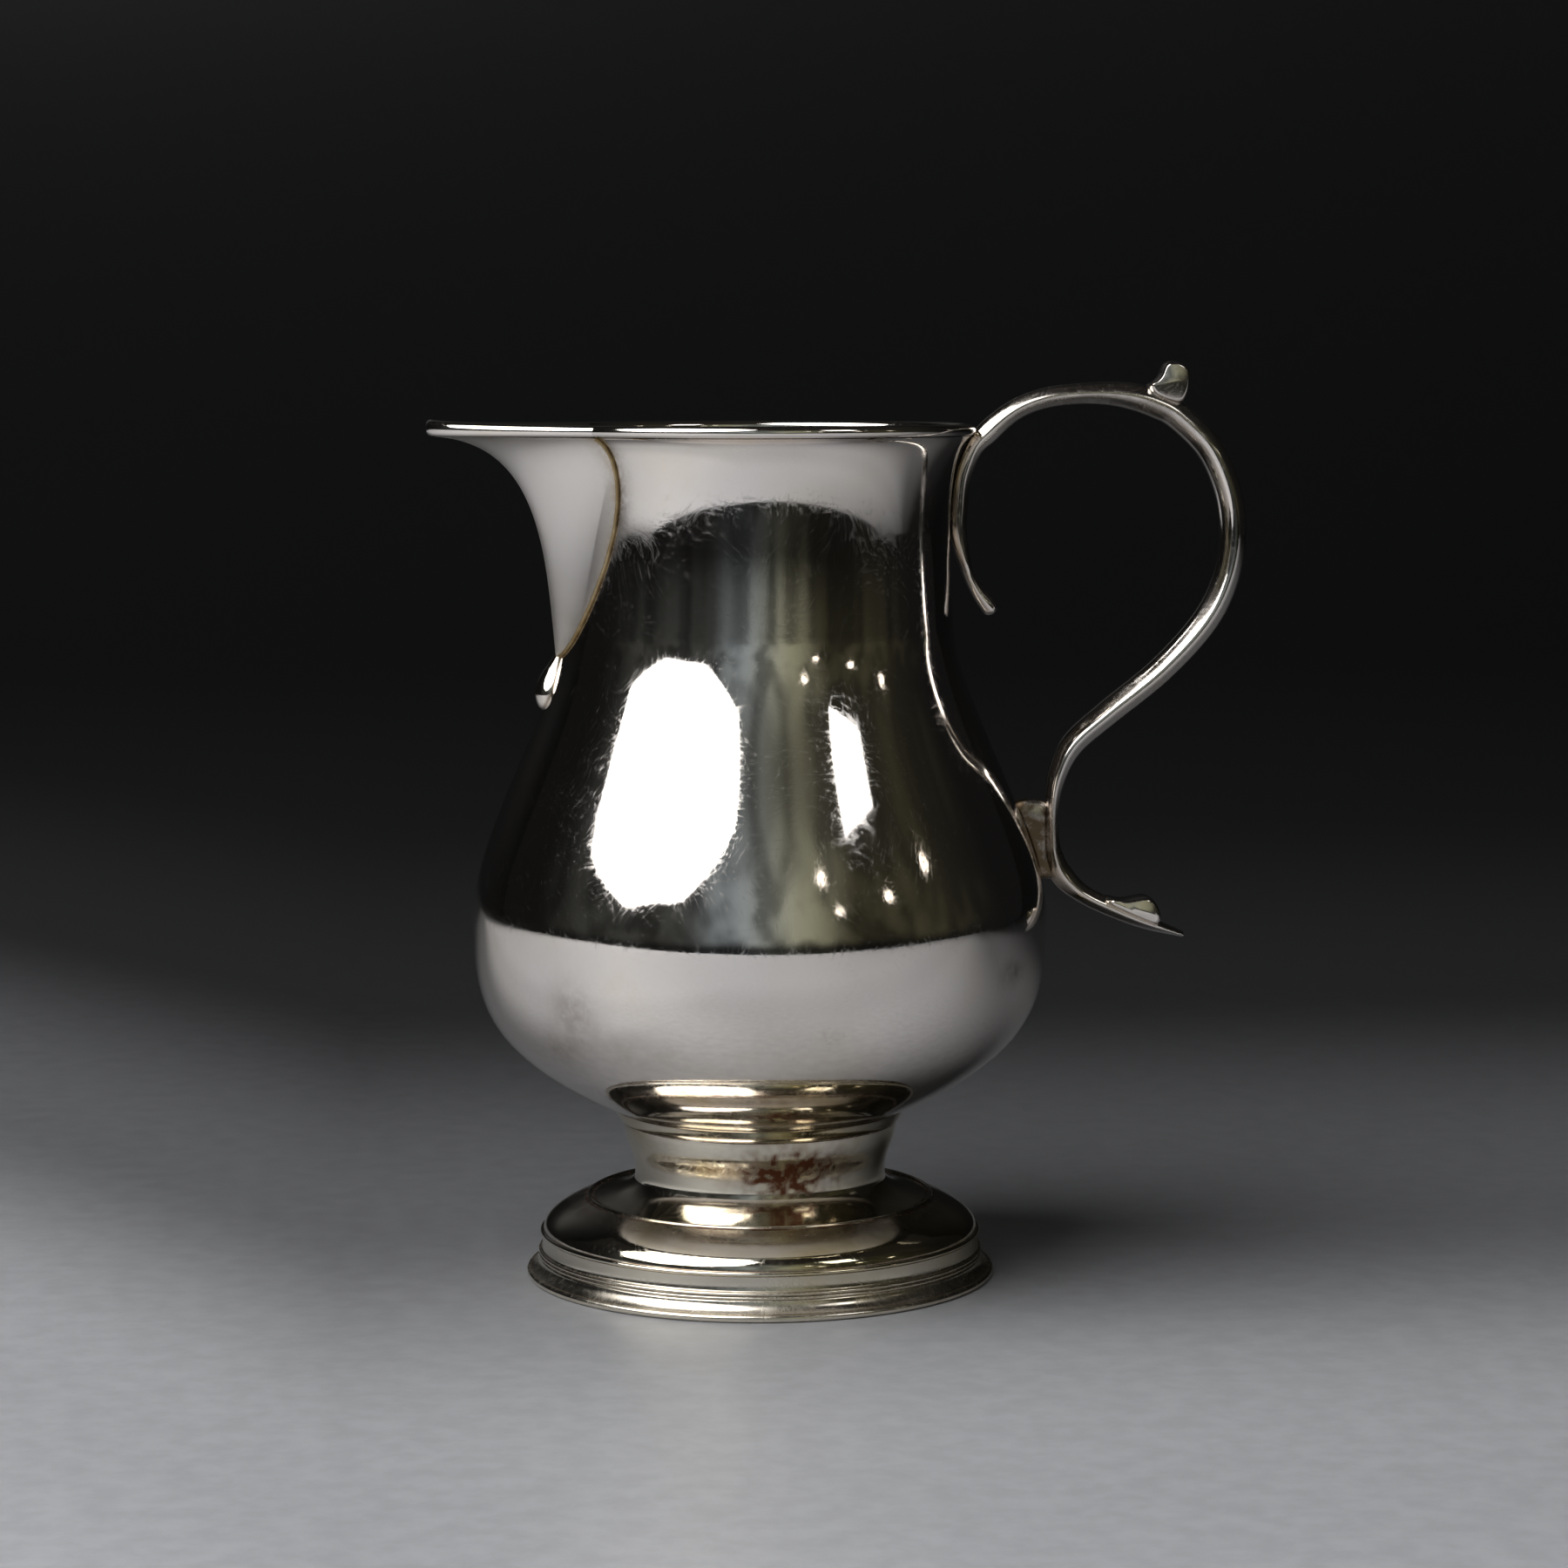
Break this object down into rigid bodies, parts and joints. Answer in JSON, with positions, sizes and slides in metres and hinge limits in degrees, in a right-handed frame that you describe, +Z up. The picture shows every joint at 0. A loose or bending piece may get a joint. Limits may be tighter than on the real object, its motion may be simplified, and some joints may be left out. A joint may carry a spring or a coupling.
{
  "type": "cream jug",
  "caption": "Small pear-shaped silver jug for cream or milk, with a beak spout, a scroll handle with a thumb spur and a spreading round foot.",
  "frame": {"origin": "centre of the foot, on the surface that the jug stands on", "axes": "+Z up along the body's axis, +X towards the handle, -X towards the spout, +Y to the right of someone who holds the handle and pours"},
  "size_m": [0.0969, 0.068, 0.108],
  "materials": {
    "body_silver": "polished, with fine wear scratches",
    "spout_silver": "polished, finely pitted, with brown tarnish along the seam",
    "foot_silver": "polished, with dark tarnish in the grooves",
    "handle_silver": "polished cast metal with worn edges"
  },
  "bodies": {
    "root": {"body": "body_silver", "mouth_wire": "body_silver", "spout": "spout_silver", "spout_wire": "spout_silver", "spout_drop": "spout_silver", "base_wire": "foot_silver", "foot_skirt": "foot_silver", "foot_bead": "foot_silver", "foot_dome": "foot_silver", "foot_stem": "foot_silver", "foot_collar": "foot_silver", "handle_scroll": "handle_silver", "handle_tail": "handle_silver", "tail_tip": "handle_silver", "thumb_spur": "handle_silver", "terminal_leaf": "handle_silver", "handle_pad": "handle_silver"}
  },
  "joints": []
}
